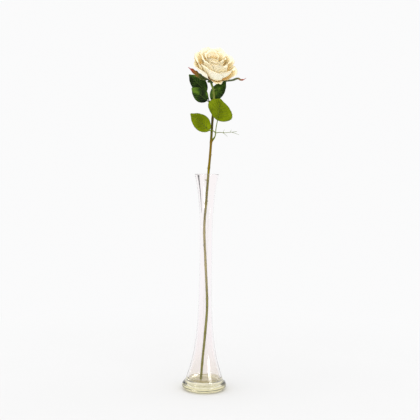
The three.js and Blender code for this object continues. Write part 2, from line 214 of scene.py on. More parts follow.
class Nodes:
    """A short way to write a material's node tree."""

    def __init__(self, name):
        self.material = bpy.data.materials.new(name)
        self.material.use_nodes = True
        self.tree = self.material.node_tree
        self.shader = self.tree.nodes["Principled BSDF"]
        self.output = self.tree.nodes["Material Output"]

    def add(self, kind, **inputs):
        node = self.tree.nodes.new(kind)
        for key, value in inputs.items():
            if hasattr(node, key):
                setattr(node, key, value)
            else:
                self.put(node.inputs[key.replace("_", " ")], value)
        return node

    def put(self, socket, value):
        if isinstance(value, bpy.types.NodeSocket):
            self.tree.links.new(value, socket)
        else:
            socket.default_value = value

    def set(self, **inputs):
        for key, value in inputs.items():
            self.put(self.shader.inputs[key.replace("_", " ")], value)

    def place(self):
        return self.add("ShaderNodeTexCoord").outputs["Object"]

    def value(self, name):
        return self.add("ShaderNodeAttribute", attribute_name=name).outputs["Fac"]

    def math(self, operation, a, b=0.0):
        node = self.tree.nodes.new("ShaderNodeMath")
        node.operation = operation
        self.put(node.inputs[0], a)
        self.put(node.inputs[1], b)
        return node.outputs[0]

    def noise(self, scale, detail, vector=None):
        node = self.add("ShaderNodeTexNoise", Scale=scale, Detail=detail)
        self.put(node.inputs["Vector"], vector if vector else self.place())
        return node.outputs["Fac"]

    def stretched(self, x, y, z):
        node = self.tree.nodes.new("ShaderNodeMapping")
        node.inputs["Scale"].default_value = (x, y, z)
        self.put(node.inputs["Vector"], self.place())
        return node.outputs["Vector"]

    def mix(self, share, a, b):
        node = self.tree.nodes.new("ShaderNodeMix")
        node.data_type = "RGBA"
        self.put(node.inputs["Factor"], share)
        self.put(node.inputs["A"], a)
        self.put(node.inputs["B"], b)
        return node.outputs["Result"]

    def range(self, value, low, high, to_low=0.0, to_high=1.0):
        """value from low..high to to_low..to_high, with soft ends."""
        node = self.tree.nodes.new("ShaderNodeMapRange")
        node.interpolation_type = "SMOOTHSTEP"
        limits = {"From Min": low, "From Max": high, "To Min": to_low, "To Max": to_high}
        for key, number in limits.items():
            node.inputs[key].default_value = number
        self.put(node.inputs["Value"], value)
        return node.outputs["Result"]

    def ramp(self, value, stops):
        node = self.tree.nodes.new("ShaderNodeValToRGB")
        elements = node.color_ramp.elements
        while len(elements) < len(stops):
            elements.new(0.5)
        for element, (place, colour) in zip(elements, stops):
            element.position = place
            element.color = rgba(colour)
        self.put(node.inputs["Fac"], value)
        return node.outputs["Color"]

    def shifted(self, value, noise, amount):
        """value moved either way by a noise, amount from end to end."""
        swing = self.math("MULTIPLY", self.math("SUBTRACT", noise, 0.5), amount)
        return self.math("ADD", value, swing)

    def bump(self, height, distance, strength):
        node = self.add("ShaderNodeBump", Distance=distance, Strength=strength)
        self.put(node.inputs["Height"], height)
        self.put(self.shader.inputs["Normal"], node.outputs["Normal"])

    def mix_shaders(self, share, a, b):
        """Shows shader output a, and b by share."""
        node = self.tree.nodes.new("ShaderNodeMixShader")
        for socket, value in zip(node.inputs, (share, a, b)):
            self.put(socket, value)
        self.put(self.output.inputs["Surface"], node.outputs[0])


def rgba(colour):
    """An 8-bit sRGB colour as linear RGBA."""
    shares = [c / 255 for c in colour]
    linear = [c / 12.92 if c <= 0.04045 else ((c + 0.055) / 1.055) ** 2.4 for c in shares]
    return (*linear, 1.0)


def height_in(nodes):
    """The height above the table at rest, in metres."""
    split = nodes.add("ShaderNodeSeparateXYZ")
    nodes.put(split.inputs[0], nodes.place())
    return split.outputs["Z"]


# ---------------------------------------------------------------- camera, light and floor

CAMERA_DISTANCE = 1.2923
CAMERA_HEIGHT = 0.37
CAMERA_SIDE = 0.0066
CAMERA_DIP = math.radians(1.61)
CAMERA_ROLL = math.radians(0.8)
CAMERA_LENS = 59.6
CAMERA_SENSOR = 36.0


def make_camera():
    """In front of the vase, a little below the level of its rim, and dipped a little."""
    data = bpy.data.cameras.new("camera")
    data.lens = CAMERA_LENS
    data.sensor_width = CAMERA_SENSOR
    camera = bpy.data.objects.new("camera", data)
    bpy.context.scene.collection.objects.link(camera)
    place = Matrix.Translation((CAMERA_SIDE, -CAMERA_DISTANCE, CAMERA_HEIGHT))
    pitch = Matrix.Rotation(math.radians(90) - CAMERA_DIP, 4, "X")
    camera.matrix_world = place @ pitch @ Matrix.Rotation(CAMERA_ROLL, 4, "Z")
    bpy.context.scene.camera = camera


BACKDROP = (0.962, 0.962, 0.9649, 1.0)
SKY = 1.25
SKY_SLOPE = 0.38
KEY_DIRECTION = Vector((-0.5, -0.62, 0.6)).normalized()


def make_world():
    """A plain white studio. What lights the cloth, the leaves and the floor falls off smoothly away from
    the key's direction, and what is seen, mirrored or seen through glass is one even white."""
    world = bpy.data.worlds.new("studio")
    bpy.context.scene.world = world
    world.use_nodes = True
    tree = world.node_tree
    background = tree.nodes["Background"]
    direction = tree.nodes.new("ShaderNodeTexCoord")
    facing = tree.nodes.new("ShaderNodeVectorMath")
    facing.operation = "DOT_PRODUCT"
    facing.inputs[1].default_value = KEY_DIRECTION
    tree.links.new(direction.outputs["Generated"], facing.inputs[0])
    sky = tree.nodes.new("ShaderNodeMath")
    sky.operation = "MULTIPLY_ADD"
    sky.inputs[1].default_value = SKY_SLOPE
    sky.inputs[2].default_value = SKY
    tree.links.new(facing.outputs["Value"], sky.inputs[0])
    path = tree.nodes.new("ShaderNodeLightPath")
    mix = tree.nodes.new("ShaderNodeMix")
    mix.data_type = "RGBA"
    mix.inputs["A"].default_value = BACKDROP
    tree.links.new(sky.outputs["Value"], mix.inputs["B"])
    tree.links.new(path.outputs["Is Diffuse Ray"], mix.inputs["Factor"])
    tree.links.new(mix.outputs["Result"], background.inputs["Color"])


WINDOW_PLACE = Vector((0.975, -1.16, 0.56))
WINDOW_AIM = Vector((0, 0, 0.1))
WINDOW_SIZE = (0.5, 0.6)
WINDOW_GLOW = 6.4


def make_window():
    """A bright panel that only the glass mirrors."""
    nodes = Nodes("window")
    cloth = nodes.noise(20.0, 2.0)
    path = nodes.add("ShaderNodeLightPath")
    weave = nodes.range(cloth, 0.0, 1.0, 0.9, 1.1)
    glow = nodes.math("MULTIPLY", path.outputs["Is Singular Ray"], weave)
    nodes.set(Base_Color=rgba((250, 250, 250)), Roughness=1.0, Emission_Color=rgba((255, 255, 255)))
    nodes.set(Emission_Strength=nodes.math("MULTIPLY", glow, WINDOW_GLOW))
    nodes.material.cycles.emission_sampling = "NONE"
    aim = (WINDOW_AIM - WINDOW_PLACE).normalized()
    across = aim.cross(Vector((0, 0, 1))).normalized() * WINDOW_SIZE[0] / 2
    up = across.cross(aim).normalized() * WINDOW_SIZE[1] / 2
    corners = [WINDOW_PLACE + across * a + up * b for a, b in ((-1, -1), (1, -1), (1, 1), (-1, 1))]
    panel = make_object("window", corners, [(0, 1, 2, 3)], [nodes.material])
    show_in_glass_only(panel)


def show_in_glass_only(obj):
    obj.visible_camera = False
    obj.visible_diffuse = False
    obj.visible_shadow = False


FLOOR_RADIUS = 12.0
FLOOR_SIDES = 64
FLOOR_FADE = (0.25, 0.9)
FLOOR_GAP = 0.4 * MM


def make_floor():
    """A pale floor that fades into the backdrop's white away from the vase, so that no horizon shows."""
    nodes = Nodes("floor")
    away = nodes.add("ShaderNodeVectorMath", operation="LENGTH")
    nodes.put(away.inputs[0], nodes.place())
    far = nodes.range(away.outputs["Value"], *FLOOR_FADE)
    cloud = nodes.noise(3.0, 2.0)
    paint = nodes.mix(cloud, rgba((218, 218, 218)), rgba((222, 222, 222)))
    nodes.set(Base_Color=paint, Roughness=0.9, Specular_IOR_Level=0.1)
    glow = nodes.add("ShaderNodeEmission", Color=BACKDROP, Strength=1.0)
    nodes.mix_shaders(far, nodes.shader.outputs[0], glow.outputs[0])
    angles = [TAU * k / FLOOR_SIDES for k in range(FLOOR_SIDES)]
    rim = [Vector((math.cos(a), math.sin(a), 0)) * FLOOR_RADIUS for a in angles]
    floor = make_object("floor", rim, [tuple(range(FLOOR_SIDES))], [nodes.material])
    floor.location.z = -FLOOR_GAP


FLAG_DISTANCE = 2.5
FLAG_WIDTH = 0.17
# The flag's lower and upper end: azimuth from straight behind the vase, and height.
FLAG_ENDS = ((math.radians(14.5), 0.225), (math.radians(5), 0.5))


def make_flag():
    """A slanted black strip far behind the vase. Only the glass shows it, as a thin dark line."""
    nodes = Nodes("flag")
    cloth = nodes.noise(200.0, 2.0)
    nodes.set(Base_Color=nodes.mix(cloth, rgba((6, 6, 6)), rgba((12, 12, 12))), Roughness=1.0)
    corners = []
    for azimuth, z in FLAG_ENDS:
        far = Vector((-math.sin(azimuth), math.cos(azimuth), 0)) * FLAG_DISTANCE + Vector((0, 0, z))
        side = Vector((math.cos(azimuth), math.sin(azimuth), 0)) * FLAG_WIDTH / 2
        corners += [far - side, far + side]
    flag = make_object("flag", corners, [(0, 1, 3, 2)], [nodes.material])
    show_in_glass_only(flag)


def make_studio():
    bpy.context.scene.view_settings.view_transform = "Standard"
    make_camera()
    make_world()
    make_floor()
    make_window()
    make_flag()


# ---------------------------------------------------------------- vase

VASE_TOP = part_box("vase_wall")[1].z
FOOT_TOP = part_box("vase_foot")[1].z
FOOT_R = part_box("vase_foot")[1].x
FOOT_EDGE = 8.3 * MM
FOOT_EDGE_STEPS = 14
SEAM_GROOVE = 1.2 * MM
SEAM_HALF = 0.5 * MM
NECK_Z = 250 * MM
NECK_R = 11.6 * MM
RIM_R = 22.4 * MM
FLARE_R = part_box("vase_wall")[1].x
FLARE_START = FOOT_TOP + 2.2 * MM
RIM_FLARE_POWER = 3.3
FOOT_FLARE_POWER = 3.8
WALL_TOP = 2.1 * MM
WALL_FOOT = 4.0 * MM
CORNER_R = 7.0 * MM
FLOOR_DIP = 0.4 * MM
GLASS_UNEVENNESS = 0.006
FLUTE_STEPS = 110
RIM_STEPS = 10
CORNER_STEPS = 8
VASE_SIDES = 192


def flute_radius(z):
    """The outside of the wall: narrowest at the neck, flaring to the rim and to the foot."""
    if z > NECK_Z:
        return NECK_R + (RIM_R - NECK_R) * ((z - NECK_Z) / (VASE_TOP - NECK_Z)) ** RIM_FLARE_POWER
    return NECK_R + (FLARE_R - NECK_R) * ((NECK_Z - z) / (NECK_Z - FOOT_TOP)) ** FOOT_FLARE_POWER


def wall_thickness(z):
    t = max(0.0, (NECK_Z - z) / (NECK_Z - FOOT_TOP))
    return WALL_TOP + (WALL_FOOT - WALL_TOP) * t * t


def eased_heights(low, high):
    """Heights from low to high, closer together at both ends."""
    for k in range(FLUTE_STEPS + 1):
        yield lerp(low, high, (1 - math.cos(math.pi * k / FLUTE_STEPS)) / 2)


def vase_profile():
    """(radius, height) pairs from the centre of the underside, up the outside and down the inside."""
    profile = [(0.0, 0.0), (FOOT_R * 0.5, 0.0)]
    half = FOOT_TOP / 2
    for k in range(FOOT_EDGE_STEPS + 1):
        a = math.radians(lerp(-90, 70, k / FOOT_EDGE_STEPS))
        profile.append((FOOT_R - FOOT_EDGE * (1 - math.cos(a)), half + half * math.sin(a)))
    # a narrow groove shows where the wall is fused to the foot
    profile.append((FLARE_R + 0.8 * MM, FOOT_TOP - 0.1 * MM))
    profile.append((FLARE_R - SEAM_GROOVE, FOOT_TOP - SEAM_HALF))
    profile.append((FLARE_R - SEAM_GROOVE, FOOT_TOP + SEAM_HALF))
    lip = WALL_TOP / 2
    top = VASE_TOP - lip
    profile += [(flute_radius(z), z) for z in eased_heights(FLARE_START, top)]
    for k in range(1, RIM_STEPS):
        a = math.pi * k / RIM_STEPS
        profile.append((flute_radius(top) - lip * (1 - math.cos(a)), top + lip * math.sin(a)))
    low = FOOT_TOP + CORNER_R
    profile += [(flute_radius(z) - wall_thickness(z), z) for z in eased_heights(top, low)]
    inner = flute_radius(low) - wall_thickness(low)
    for k in range(1, CORNER_STEPS + 1):
        a = math.radians(90 * k / CORNER_STEPS)
        profile.append((inner - CORNER_R * (1 - math.cos(a)), low - CORNER_R * math.sin(a)))
    profile.append((inner * 0.4, FOOT_TOP - FLOOR_DIP * 0.75))
    profile.append((0.0, FOOT_TOP - FLOOR_DIP))
    return profile


def hand_blown(radius, z, angle):
    """The slight unevenness of a wall shaped on the blowpipe."""
    wave = noise.noise(Vector((math.cos(angle) * 0.9, math.sin(angle) * 0.9, z * 14)))
    return radius * (1 + GLASS_UNEVENNESS * wave * smoothstep(z, FOOT_TOP, FOOT_TOP * 3))


def glass_material():
    """Clear glass, amber where it is thick in the foot and faintly pink in the wall. It shades what is
    behind it only by its tint."""
    nodes = Nodes("vase_glass")
    z = height_in(nodes)
    tint = nodes.ramp(nodes.math("DIVIDE", z, VASE_TOP), [
        (0.0, (240, 232, 190)),
        (0.034, (241, 234, 194)),
        (0.046, (253, 249, 246)),
        (0.25, (254, 250, 251)),
        (0.5, (255, 252, 253)),
        (1.0, (255, 252, 252)),
    ])
    nodes.set(Base_Color=tint, Roughness=0.0, IOR=1.5, Transmission_Weight=1.0)
    nodes.bump(nodes.noise(26.0, 1.0), 0.4 * MM, 0.12)
    clear = nodes.add("ShaderNodeBsdfTransparent")
    nodes.put(clear.inputs["Color"], tint)
    path = nodes.add("ShaderNodeLightPath")
    nodes.mix_shaders(path.outputs["Is Shadow Ray"], nodes.shader.outputs[0], clear.outputs[0])
    return nodes.material


def make_vase():
    """Both gathers of the vase as one closed piece of glass, hollow from the rim down."""
    builder = Builder()
    rings = []
    for r, z in vase_profile():
        if r == 0:
            rings.append([builder.point(Vector((0, 0, z)))])
            continue
        ring = []
        for s in range(VASE_SIDES):
            a = TAU * s / VASE_SIDES
            reach = hand_blown(r, z, a)
            ring.append(builder.point(Vector((reach * math.cos(a), reach * math.sin(a), z))))
        rings.append(ring)
    for low, high in zip(rings, rings[1:]):
        builder.band(low, high)
    vase = builder.make("vase_glass", [glass_material()])
    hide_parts("vase_wall", "vase_foot")
    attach(vase, "vase")


# ---------------------------------------------------------------- stem

STEM_R = 2.25 * MM
WIRE_RING_GAP = 2.5 * MM


def centreline(node):
    """The middle of each ring of a swept CAD tube, from the bottom up."""
    heights = sorted((v.co.copy() for v in frame["nodes"][node].data.vertices), key=lambda p: p.z)
    rings = []
    ring = [heights[0]]
    for p in heights[1:]:
        if p.z - ring[-1].z > WIRE_RING_GAP:
            rings.append(ring)
            ring = []
        ring.append(p)
    rings.append(ring)
    return [sum(r, Vector()) / len(r) for r in rings]


JOINTS = {j["name"]: j for j in frame["joints"]}
STEM_LINE = centreline("stem_wire")
HEAD_PLACE = Vector(JOINTS["bloom_turn"]["pos_m"])
HEAD_AXIS = Vector(JOINTS["bloom_turn"]["axis"]).normalized()
HEAD_SIDE = HEAD_AXIS.cross(Vector((1, 0, 0))).normalized()
HEAD = Matrix((HEAD_SIDE.cross(HEAD_AXIS), HEAD_SIDE, HEAD_AXIS)).transposed()
PEG_START = 10.5 * MM
PEG_END = 2.2 * MM


def stem_at(z):
    """The stem's centre at a height."""
    for a, b in zip(STEM_LINE, STEM_LINE[1:]):
        if a.z <= z <= b.z:
            return a.lerp(b, (z - a.z) / (b.z - a.z))
    return STEM_LINE[-1].copy()


# The heights of the stem's swellings, in mm.
STEM_NODES = [46, 103, 168, 231, 292, 345, 412, 459, 503, 522]
# Each thorn's height in mm, azimuth in degrees and length in mm.
THORNS = [
    (389, 180, 3.6),
    (411, 150, 2.0),
    (350, 17, 2.0),
    (557, -17, 3.6),
    (268, 205, 1.2),
    (436, 20, 1.5),
    (491, 200, 1.6),
]


def stem_material():
    """Olive low down, orange-brown above the rim and green below the head. Paler in the middle, which is a
    painted reflection of the glass, and darker just below the leaves, which is painted shade.
    """
    nodes = Nodes("stem_plastic")
    blotch = nodes.noise(90.0, 3.0, nodes.stretched(1, 1, 0.35))
    place = nodes.shifted(height_in(nodes), blotch, 0.03)
    # painted reflection: the pale stretch from about 160 to 360 mm up; painted shade: the dark stretch from
    # about 455 to 515 mm up, below the leaves
    base = nodes.ramp(nodes.math("DIVIDE", place, 0.6), [
        (0.0, (136, 136, 10)),
        (0.27, (138, 136, 16)),
        (0.35, (176, 164, 104)),
        (0.5, (178, 166, 112)),
        (0.6, (128, 120, 14)),
        (0.66, (122, 112, 8)),
        (0.705, (124, 100, 8)),
        (0.755, (122, 96, 8)),
        (0.775, (92, 90, 16)),
        (0.835, (72, 62, 18)),
        (0.86, (110, 118, 40)),
        (0.9, (126, 134, 58)),
        (0.94, (122, 140, 62)),
        (0.975, (66, 100, 26)),
        (1.0, (60, 94, 24)),
    ])
    streak = nodes.noise(60.0, 4.0, nodes.stretched(8, 8, 0.6))
    dark = nodes.mix(0.35, base, rgba((60, 44, 18)))
    colour = nodes.mix(nodes.range(streak, 0.45, 0.8), base, dark)
    nodes.set(Base_Color=colour, Roughness=nodes.range(streak, 0.2, 0.8, 0.42, 0.62))
    nodes.set(Specular_IOR_Level=0.12)
    nodes.bump(streak, 0.25 * MM, 0.6)
    return nodes.material


def stem_wobble(angle, centre):
    """Shallow ribs along the stem and swellings at its nodes."""
    z = centre.z / MM
    swell = sum(hill(z, k, 2.6) * 0.16 for k in STEM_NODES)
    ribs = 0.035 * math.sin(7 * angle + z * 0.02) + 0.02 * math.sin(13 * angle - z * 0.05)
    rough = 0.05 * noise.noise(Vector((math.cos(angle), math.sin(angle), z * 0.08)) * 1.3)
    return 1 + swell + ribs + rough


def add_thorn(builder, z, azimuth, length):
    """A short spike that bends up, rooted inside the stem."""
    root = stem_at(z * MM)
    a = math.radians(azimuth)
    out = Vector((math.cos(a), math.sin(a), 0))
    start = root + out * (STEM_R * 0.55)
    tip = root + out * (STEM_R + length * MM) + Vector((0, 0, length * 0.45 * MM))
    bend = start.lerp(tip, 0.5) - Vector((0, 0, 0.2 * length * MM))
    route = [catmull([start, bend, tip], k / 8) for k in range(9)]
    add_tube(builder, route, lambda s: lerp(1.5, 0.15, s**0.8) * MM, 10)


def make_stem(spray_pegs):
    """The stem from the vase's floor to the peg that the head sits on, with its thorns and side pegs."""
    builder = Builder()
    peg = [HEAD_PLACE - HEAD_AXIS * PEG_START, HEAD_PLACE - HEAD_AXIS * PEG_END]
    route = smooth_route([*STEM_LINE[:-1], *peg], 1.6 * MM)

    def radius(share):
        z = lerp(route[0].z, route[-1].z, share)
        rounded_end = lerp(0.8, 1, smoothstep(share, 0, 0.002))
        return STEM_R * (1 - 0.1 * smoothstep(z, 0.44, 0.56)) * rounded_end

    add_tube(builder, route, radius, 28, stem_wobble)
    for thorn in THORNS:
        add_thorn(builder, *thorn)
    for root, direction, reach in spray_pegs:
        line = [root + direction * (reach * k / 6) for k in range(7)]
        add_tube(builder, line, taper(2.1, 1.55), 16)
    stem = builder.make("rose_stem", [stem_material()])
    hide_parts("stem_sheath")
    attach(stem, "rose_stem")


# ---------------------------------------------------------------- petals

# The rings of petals are those of the CAD head, in mm and degrees in the head's own frame. profile runs
# from a petal's foot to its free edge, as radius and height. weave is how far one side of a petal
# stands out over its neighbour. The head is lopsided: shift moves a ring sideways, sag tips it down on
# its +x side and lift folds it up on its -x side. short gives a numbered petal's share of the full size.
# Three things only show here: ruffle is how far the free edge waves, curl is how far it rolls back, and
# the lower corner is, the more pointed the free edge.
PETAL_RINGS = [
    dict(name="petal_centre", count=3, first=20, width=24, weave=1.1, sag=0, shift=(0, 0), lift=0,
         corner=3, ruffle=0.3, curl=1.0,
         profile=[(2.7, 7.6), (6.8, 14), (9, 28), (8, 41), (9, 48)]),
    dict(name="petal_inner", count=5, first=38, width=26, weave=1.4, sag=0.04, shift=(1.6, 2), lift=3,
         corner=3, ruffle=0.5, curl=3.5,
         profile=[(3.2, 5.7), (10.5, 11), (15.4, 25), (16, 40), (19.4, 50)]),
    dict(name="petal_middle", count=5, first=2, width=38, weave=1.6, sag=0.1, shift=(2.6, 3.2), lift=5,
         corner=1.8, ruffle=0.6, curl=5.0,
         profile=[(3.6, 3.8), (13.5, 8.6), (22, 22), (25, 37), (29.5, 47.5)]),
    dict(name="petal_open", count=5, first=38, width=47, weave=1.6, sag=0.15, shift=(2.4, 5.4), lift=5,
         corner=1.3, ruffle=0.8, curl=5.0,
         profile=[(4, 1.9), (17, 5.5), (28.4, 17), (34, 30), (38.6, 38)]),
    dict(name="petal_guard", count=5, first=2, width=46, weave=0, sag=0.18, shift=(2, 6.4), lift=6.5,
         corner=1.3, ruffle=0.8, curl=3.0, short={5: 0.5},
         profile=[(4.4, 0.4), (18, 2.2), (30.6, 9.4), (38, 19.4), (41.8, 25.4)]),
]
PETAL_THICK = 0.42 * MM
PETAL_GRID = 30
PETAL_WIDEST = 0.62
PETAL_FOOT_WIDTH = 0.07


def petal_outline(along):
    """A petal's share of its full width, along its length."""
    reach = PETAL_WIDEST * 1.02 if along < PETAL_WIDEST else 0.44
    away = min(1.0, abs(along - PETAL_WIDEST) / reach)
    return lerp(PETAL_FOOT_WIDTH, 1, math.sqrt(1 - away * away))


def petal_surface(ring, index):
    """The middle surface of one petal, with u across it and v along it."""
    points = [Vector(p) for p in ring["profile"]]
    spacing = TAU / ring["count"]
    azimuth = math.radians(ring["first"]) + index * spacing
    lobe = random.Random(f"{ring['name']}{index}")
    phase = lobe.uniform(0, TAU)
    tilt = lobe.uniform(-0.5, 0.5)
    base = points[0]
    size = ring.get("short", {}).get(index + 1, 1.0)

    def surface(u, v):
        along = min(1.0, max(0.0, v * (1 - 0.15 * abs(u) ** ring["corner"])))
        p = catmull(points, along * size)
        t = (catmull(points, along * size + 1e-3) - catmull(points, along * size - 1e-3)).normalized()
        # low down, and in a ring that isn't woven, a petal keeps to its own part of the circle
        room = spacing / 2 * (0.82 + 4 * max(0.0, along - 0.25) if ring["weave"] else 0.94)
        half = min(size * ring["width"] / 2 * petal_outline(along) / p.x, room)
        a = azimuth + u * half
        close = math.radians(ring["lift"]) * smoothstep(-math.cos(a), -0.2, 0.7)
        p = base + Matrix.Rotation(close, 2) @ (p - base)
        t = Matrix.Rotation(close, 2) @ t
        out = u * ring["weave"] * smoothstep(along, 0.04, 0.26)
        # a ring shares one field of waves, so that neighbours wave together
        free = smoothstep(along, 0.45, 1.0)
        waves = math.sin(5 * a + ring["first"]) + 0.5 * math.sin(9 * a + ring["count"])
        out += ring["ruffle"] * free * waves
        crumple = noise.noise(Vector((3.0 * math.cos(a), 3.0 * math.sin(a), p.y * 0.06)))
        out += 1.2 * crumple * smoothstep(along, 0.15, 0.5)
        # the free edge rolls back, least in its middle
        roll = smoothstep(along, 0.76, 1.0) ** 1.6
        beside = 0.35 + 0.65 * min(1.0, abs(u + tilt * 0.4)) + 0.15 * math.sin(3 * u + phase)
        lean = ring["curl"] * roll * beside
        out += lean
        r = p.x + t.y * out
        z = p.y - t.x * out - lean * 0.75
        lopsided = smoothstep(r, 4, 18)
        x = r * math.cos(a)
        z -= ring["sag"] * x * lopsided
        x += ring["shift"][0] * lopsided
        y = r * math.sin(a) + ring["shift"][1] * lopsided
        return HEAD_PLACE + HEAD @ (Vector((x, y, z)) * MM)

    return surface


def petal_material():
    """Cream fabric, warmer inside and towards the petal's foot."""
    nodes = Nodes("petal_fabric")
    along = nodes.value("along")
    across = nodes.value("across")
    outside = nodes.value("side")
    reach = nodes.shifted(along, nodes.noise(55.0, 2.0), 0.3)
    outer = nodes.ramp(reach, [
        (0.0, (232, 220, 146)),
        (0.22, (254, 243, 202)),
        (0.55, (255, 250, 226)),
        (0.85, (255, 248, 224)),
        (1.0, (251, 240, 214)),
    ])
    inner = nodes.ramp(reach, [
        (0.0, (250, 200, 112)),
        (0.42, (255, 221, 150)),
        (0.7, (255, 238, 192)),
        (0.92, (255, 245, 214)),
        (1.0, (251, 238, 208)),
    ])
    colour = nodes.mix(outside, inner, outer)
    blush = nodes.range(nodes.noise(34.0, 1.0), 0.55, 0.8)
    colour = nodes.mix(nodes.math("MULTIPLY", blush, 0.35), colour, rgba((252, 222, 200)))
    # painted shade: in places the rim is tinted grey-brown, standing in for the shaded undersides of curled
    # lips
    lip_shade_patches = nodes.range(nodes.noise(42.0, 1.0), 0.42, 0.62)
    rim = nodes.math("MULTIPLY", nodes.range(along, 0.95, 1.0), lip_shade_patches)
    colour = nodes.mix(nodes.math("MULTIPLY", rim, 0.75), colour, rgba((196, 172, 132)))
    # pressed veins fan out from the petal's foot
    fan = nodes.math("MULTIPLY", across, 44.0)
    bend = nodes.math("MULTIPLY", nodes.noise(70.0, 2.0), 5.0)
    veins = nodes.math("SINE", nodes.math("ADD", fan, bend))
    veins = nodes.math("MULTIPLY", veins, nodes.range(along, 0.05, 0.5, 1.0, 0.35))
    crepe = nodes.noise(420.0, 4.0)
    height = nodes.math("ADD", nodes.math("MULTIPLY", veins, 0.35), nodes.math("MULTIPLY", crepe, 0.8))
    nodes.bump(height, 0.04 * MM, 0.5)
    # painted shade: the grooves between the raised veins are a little darker
    shade = nodes.math("MULTIPLY", nodes.range(veins, -1.0, -0.2, 1.0, 0.0), 0.05)
    colour = nodes.mix(shade, colour, rgba((226, 196, 140)))
    nodes.set(Base_Color=colour, Roughness=nodes.range(crepe, 0.2, 0.8, 0.7, 0.9))
    nodes.set(Sheen_Weight=0.25, Sheen_Roughness=0.4, Specular_IOR_Level=0.1)
    return nodes.material


def make_petals():
    material = petal_material()
    for ring in PETAL_RINGS:
        for index in range(ring["count"]):
            node = f"{ring['name']}_{index + 1}"
            builder = Builder()
            add_blade(builder, petal_surface(ring, index), PETAL_THICK, PETAL_GRID, PETAL_GRID)
            petal = builder.make(f"{node}_fabric", [material])
            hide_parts(node)
            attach(petal, "bloom_head")


# ---------------------------------------------------------------- calyx

# The socket's section, in mm: up its outside, over its brim and down to the hole for the peg.
CALYX_SECTION = [
    (2.45, -9.2), (2.9, -9.3), (3.5, -8.0), (4.6, -6.0), (5.2, -3.6), (5.1, -1.6), (4.4, -0.5),
    (1.3, -0.35), (1.3, -1.4), (2.4, -1.6),
]
CALYX_SIDES = 40
# Each sepal's azimuth and twist in degrees, its profile and width in mm, and how red its tip is.
SEPALS = [
    dict(azimuth=176, width=11, twist=-40, red=1.0,
         profile=[(3.6, -2.6), (17, -1.6), (31, 7.6), (44.5, 17.8)]),
    dict(azimuth=240, width=7, twist=0, red=0.0,
         profile=[(3.6, -2.6), (7, -3.2), (10.5, -3), (14, -1.6)]),
    dict(azimuth=310, width=5, twist=0, red=0.0,
         profile=[(3.6, -2.6), (8, -3.4), (12, -3.8), (15, -4.8)]),
    dict(azimuth=357, width=7, twist=0, red=1.0,
         profile=[(3.6, -2.6), (18, -3), (36, -0.4), (47, 5), (53, 3), (58, 4), (63, 8.4)]),
    dict(azimuth=80, width=8, twist=0, red=0.3,
         profile=[(3.6, -2.6), (13, -3), (22, -2.4), (31, -0.6)]),
]
SEPAL_THICK = 0.6 * MM
SEPAL_GRID = (10, 44)


def sepal_surface(sepal):
    """The middle surface of a sepal: cupped low down, fringed at its sides and narrow at its tip."""
    points = [Vector(p) for p in sepal["profile"]]
    turn = Matrix.Rotation(math.radians(sepal["azimuth"]), 3, "Z")

    def surface(u, v):
        p = catmull(points, v)
        fringe = 0.12 * math.sin(v * 34) * smoothstep(abs(u), 0.6, 1.0)
        swell = 0.2 + 0.8 * math.sin(math.pi * (0.16 + 0.8 * min(1.0, max(0.0, v)))) + fringe
        half = sepal["width"] / 2 * max(0.06, swell * (1 - smoothstep(v, 0.72, 1.0) * 0.82))
        cup = 0.55 * u * u * smoothstep(v, 0.0, 0.3) * (1 - 0.6 * v)
        turned = math.radians(sepal["twist"]) * smoothstep(v, 0.1, 0.6) + 0.15 * (v - 0.4)
        place = Vector((p.x, u * half * math.cos(turned), p.y + u * half * math.sin(turned) + cup))
        return HEAD_PLACE + HEAD @ (turn @ place * MM)

    return surface


def calyx_material():
    """Green, turning orange-brown and red towards the tips of the sepals whose red is not 0."""
    nodes = Nodes("calyx_plastic")
    grain = nodes.noise(300.0, 4.0)
    reach = nodes.shifted(nodes.value("along"), grain, 0.16)
    green = nodes.ramp(reach, [
        (0.0, (38, 62, 16)),
        (0.5, (72, 88, 26)),
        (1.0, (96, 104, 38)),
    ])
    ripe = nodes.ramp(reach, [
        (0.0, (38, 62, 16)),
        (0.45, (70, 84, 22)),
        (0.62, (128, 92, 28)),
        (0.8, (150, 66, 26)),
        (0.88, (170, 36, 48)),
        (1.0, (158, 22, 44)),
    ])
    colour = nodes.mix(nodes.value("red"), green, ripe)
    nodes.set(Base_Color=colour, Roughness=nodes.range(grain, 0.2, 0.8, 0.4, 0.6))
    nodes.bump(grain, 0.2 * MM, 0.5)
    return nodes.material


def make_calyx():
    builder = Builder()
    rings = []
    for r, z in CALYX_SECTION:
        ring = []
        for s in range(CALYX_SIDES):
            a = TAU * s / CALYX_SIDES
            lumps = 1 + 0.05 * math.cos(5 * a + 0.4) * smoothstep(r, 3, 5)
            place = Vector((r * lumps * math.cos(a), r * lumps * math.sin(a), z)) * MM
            place = HEAD_PLACE + HEAD @ place
            ring.append(builder.point(place, along=0.0, across=0.0, side=1.0, red=0.0))
        rings.append(ring)
    for low, high in zip(rings, rings[1:] + rings[:1]):
        builder.band(low, high)
    for sepal in SEPALS:
        before = len(builder.vertices)
        add_blade(builder, sepal_surface(sepal), SEPAL_THICK, *SEPAL_GRID)
        builder.values["red"] += [sepal["red"]] * (len(builder.vertices) - before)
    calyx = builder.make("calyx_moulding", [calyx_material()])
    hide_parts("calyx")
    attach(calyx, "bloom_head")


# ---------------------------------------------------------------- leaves

